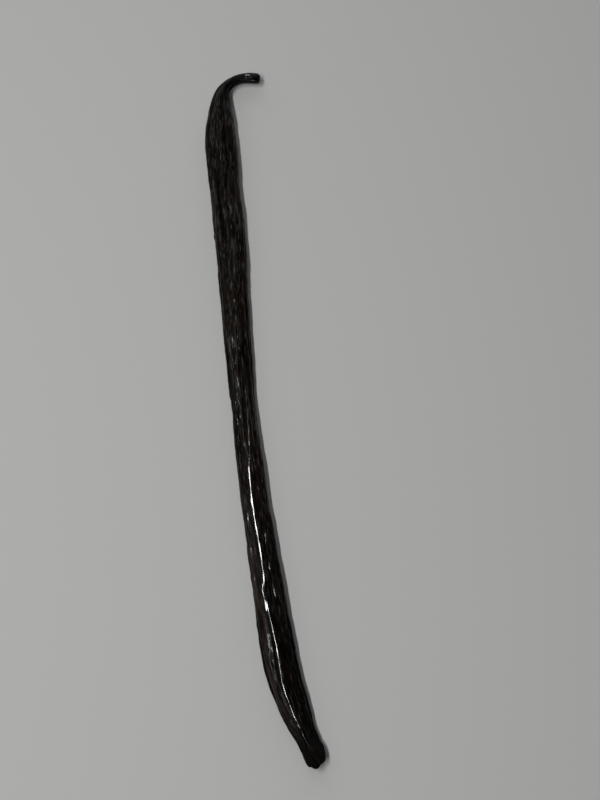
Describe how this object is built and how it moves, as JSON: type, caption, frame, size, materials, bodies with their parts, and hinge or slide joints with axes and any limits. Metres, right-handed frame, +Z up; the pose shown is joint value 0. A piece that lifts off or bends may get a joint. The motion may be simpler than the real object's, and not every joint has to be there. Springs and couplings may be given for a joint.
{
  "type": "vanilla pod",
  "caption": "Cured vanilla pod: a long, slim, flattened bean with lengthwise folds, a hooked stalk end and a blunt blossom end, lying flat.",
  "frame": {"origin": "on the surface that the pod lies on, under the middle of its bounding box", "axes": "+Y along the pod from the blossom end towards the hooked stalk, +Z up through its flattened thickness, +X to the right seen from above"},
  "size_m": [0.0323, 0.186, 0.005],
  "materials": {
    "skin": "oily"
  },
  "bodies": {
    "root": {"pod": "skin"}
  },
  "joints": []
}
